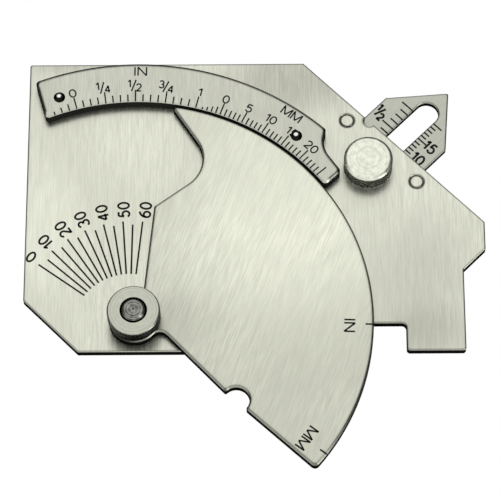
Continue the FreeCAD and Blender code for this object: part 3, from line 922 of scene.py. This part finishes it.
def finish_sheets():
    """The brushed parts, each with the direction of its brushing."""
    pins = [middle(node) - PIVOT for node in ("arc_pin_left", "arc_pin_right")]
    finish_node("main_plate", sheet_steel(
        "plate_brushed", BRIGHT_STEEL, 90, rim=(0.5, 0.6), painted_light=PLATE_PAINTED_LIGHT))
    finish_node("cam", sheet_steel(
        "cam_brushed", CAM_STEEL, 70, rim=(0.75, 0.8), painted_light=CAM_PAINTED_LIGHT))
    finish_node("arc_scale", sheet_steel(
        "scale_brushed", SCALE_STEEL, 90, wall=0.035, rim=(0.95, 1.0), pins=pins,
        clean_within=SCALE_CLEAN_R))
    finish_node("throat_blade", sheet_steel(
        "blade_brushed", BLADE_STEEL, 45, contrast=0.12, roughness=0.4, rim=(0.45, 0.6)))
    finish_node("back_strap", sheet_steel("strap_brushed", STRAP_STEEL, 135))
    for node in ("guide_rivet_upper", "guide_rivet_lower"):
        finish_node(node, sheet_steel(node + "_brushed", BRIGHT_STEEL, 90, rim=(0.55, 1.0)))


def finish_fasteners():
    """The pivot's screw, its washer in painted shade, and domed pins with painted glints."""
    finish_node("pivot_screw", turned_steel(
        "pivot_screw_turned", SCREW_STEEL, PIVOT, pitch=0.3, contrast=0.7,
        tones=((0.35, 0.15, SCREW_CENTRE),)))
    # The washer's dark colour is painted shade under the nut.
    finish_node("pivot_washer", turned_steel("pivot_washer_turned", WASHER_PAINTED_SHADE, PIVOT))
    for node in ("arc_pin_left", "arc_pin_right"):
        # Painted glint: bright about a spot beside the pin's middle, with painted shade round it.
        finish_node(node, turned_steel(
            node + "_painted_glint", PIN_PAINTED_GLINT, middle(node) + Vector(PAINTED_GLINT_ASIDE), pitch=0.5,
            contrast=0.04, roughness=0.15, bump=0.05, tones=((0.3, 0.62, PIN_PAINTED_SHADE),)))


def knurled_pieces():
    """The nut and the lock screw, each with its finishes in order."""
    knurled_nut([
        turned_steel("nut_faced", NUT_STEEL, contrast=0.12),
        # The nut's knurled side is darkened with painted shade.
        knurled_steel("knurled_nut_steel", NUT_SIDE_PAINTED_SHADE),
        # The countersink and bore are painted shade.
        turned_steel("nut_sink_painted_shade", SINK_PAINTED_SHADE),
    ])
    knurled_lock_screw([
        turned_steel("knob_faced", KNOB_STEEL, pitch=0.5, contrast=0.18, bump=1.0, scuffs=0.6),
        knurled_steel("knurled_knob_steel", KNOB_SIDE),
    ])


def etch():
    black = mark_black()
    for make in (curved_scale_marks, angle_scale_marks, cam_marks, blade_marks):
        make(black)


# Studio


def look_through():
    """The camera, where the gauge was photographed from."""
    azimuth, elevation, roll = (math.radians(a) for a in (VIEW_AZIMUTH, VIEW_ELEVATION, VIEW_ROLL))
    back = Vector((math.sin(azimuth) * math.cos(elevation), -math.cos(azimuth) * math.cos(elevation),
                   math.sin(elevation)))
    right = Vector((math.cos(azimuth), math.sin(azimuth), 0.0))
    upward = back.cross(right)
    x_axis = right * math.cos(roll) + upward * math.sin(roll)
    y_axis = upward * math.cos(roll) - right * math.sin(roll)
    turn = Matrix((x_axis, y_axis, back)).transposed().to_4x4()
    aim = Vector(on_gauge(*AIM)) + Vector((0.0, 0.0, PLATE_FACE * MM))
    camera = bpy.data.objects.new("camera", bpy.data.cameras.new("camera"))
    camera.data.sensor_width = SENSOR_MM
    camera.data.lens = FOCAL_PX * SENSOR_MM / PHOTO_PX
    camera.data.clip_start, camera.data.clip_end = CLIP
    camera.matrix_world = Matrix.Translation(aim + back * VIEW_FROM) @ turn
    bpy.context.scene.collection.objects.link(camera)
    bpy.context.scene.camera = camera


def studio_floor():
    """A plain white floor that metal hardly mirrors, and that is clear from below."""
    material, tree, shader = new_material("floor_white")
    tree.nodes.remove(shader)
    seen = add(tree, "ShaderNodeLightPath").outputs["Is Camera Ray"]
    glow = add(tree, "ShaderNodeEmission", {"Color": (1.0, 1.0, 1.0, 1.0), "Strength": 1.0})
    dim = add(tree, "ShaderNodeEmission", {"Color": (1.0, 1.0, 0.95, 1.0),
                                           "Strength": FLOOR_MIRRORED})
    mix = add(tree, "ShaderNodeMixShader", {0: seen, 1: dim.outputs[0], 2: glow.outputs[0]})
    below = add(tree, "ShaderNodeNewGeometry").outputs["Backfacing"]
    clear = add(tree, "ShaderNodeBsdfTransparent")
    both = add(tree, "ShaderNodeMixShader", {0: below, 1: mix.outputs[0], 2: clear.outputs[0]})
    tree.links.new(both.outputs[0], tree.nodes["Material Output"].inputs["Surface"])
    mesh = bmesh.new()
    bmesh.ops.create_grid(mesh, x_segments=1, y_segments=1, size=FLOOR_HALF)
    floor = object_from(mesh, "studio_floor", [material])


def bright_part(tree, direction, start, full, level):
    """The sky's level about a bright part of it."""
    toward = add(tree, "ShaderNodeTexCoord").outputs["Generated"]
    nearness = add(tree, "ShaderNodeVectorMath", {0: toward, 1: direction},
                   operation="DOT_PRODUCT").outputs["Value"]
    return remap(tree, nearness, (start, full), (HORIZON_LEVEL, level))


def studio_light():
    """A bright ceiling and a weaker light at the front, both fading towards a dark horizon,
    and a small soft lamp from the right. The camera itself sees plain white.
    """
    world = bpy.data.worlds.new("studio")
    bpy.context.scene.world = world
    world.use_nodes = True
    tree = world.node_tree
    level = calc(tree, "MAXIMUM", bright_part(tree, *CEILING), bright_part(tree, *FRONT_LIGHT))
    seen = add(tree, "ShaderNodeLightPath").outputs["Is Camera Ray"]
    background = tree.nodes["Background"]
    background.inputs["Color"].default_value = (1.0, 1.0, 1.0, 1.0)
    tree.links.new(calc(tree, "MAXIMUM", level, seen), background.inputs["Strength"])
    lamp = bpy.data.lights.new("side_lamp", "AREA")
    lamp.size = LAMP_SIZE
    lamp.energy = LAMP_POWER
    holder = bpy.data.objects.new("side_lamp", lamp)
    holder.location = LAMP_AT
    holder.rotation_mode = "QUATERNION"
    holder.rotation_quaternion = holder.location.to_track_quat("Z", "Y")
    bpy.context.scene.collection.objects.link(holder)


def show_plain():
    """White stays white in the picture, with no film curve."""
    view = bpy.context.scene.view_settings
    view.view_transform = "Standard"
    view.look = "None"


look_through()
studio_floor()
studio_light()
show_plain()
finish_sheets()
finish_fasteners()
knurled_pieces()
etch()
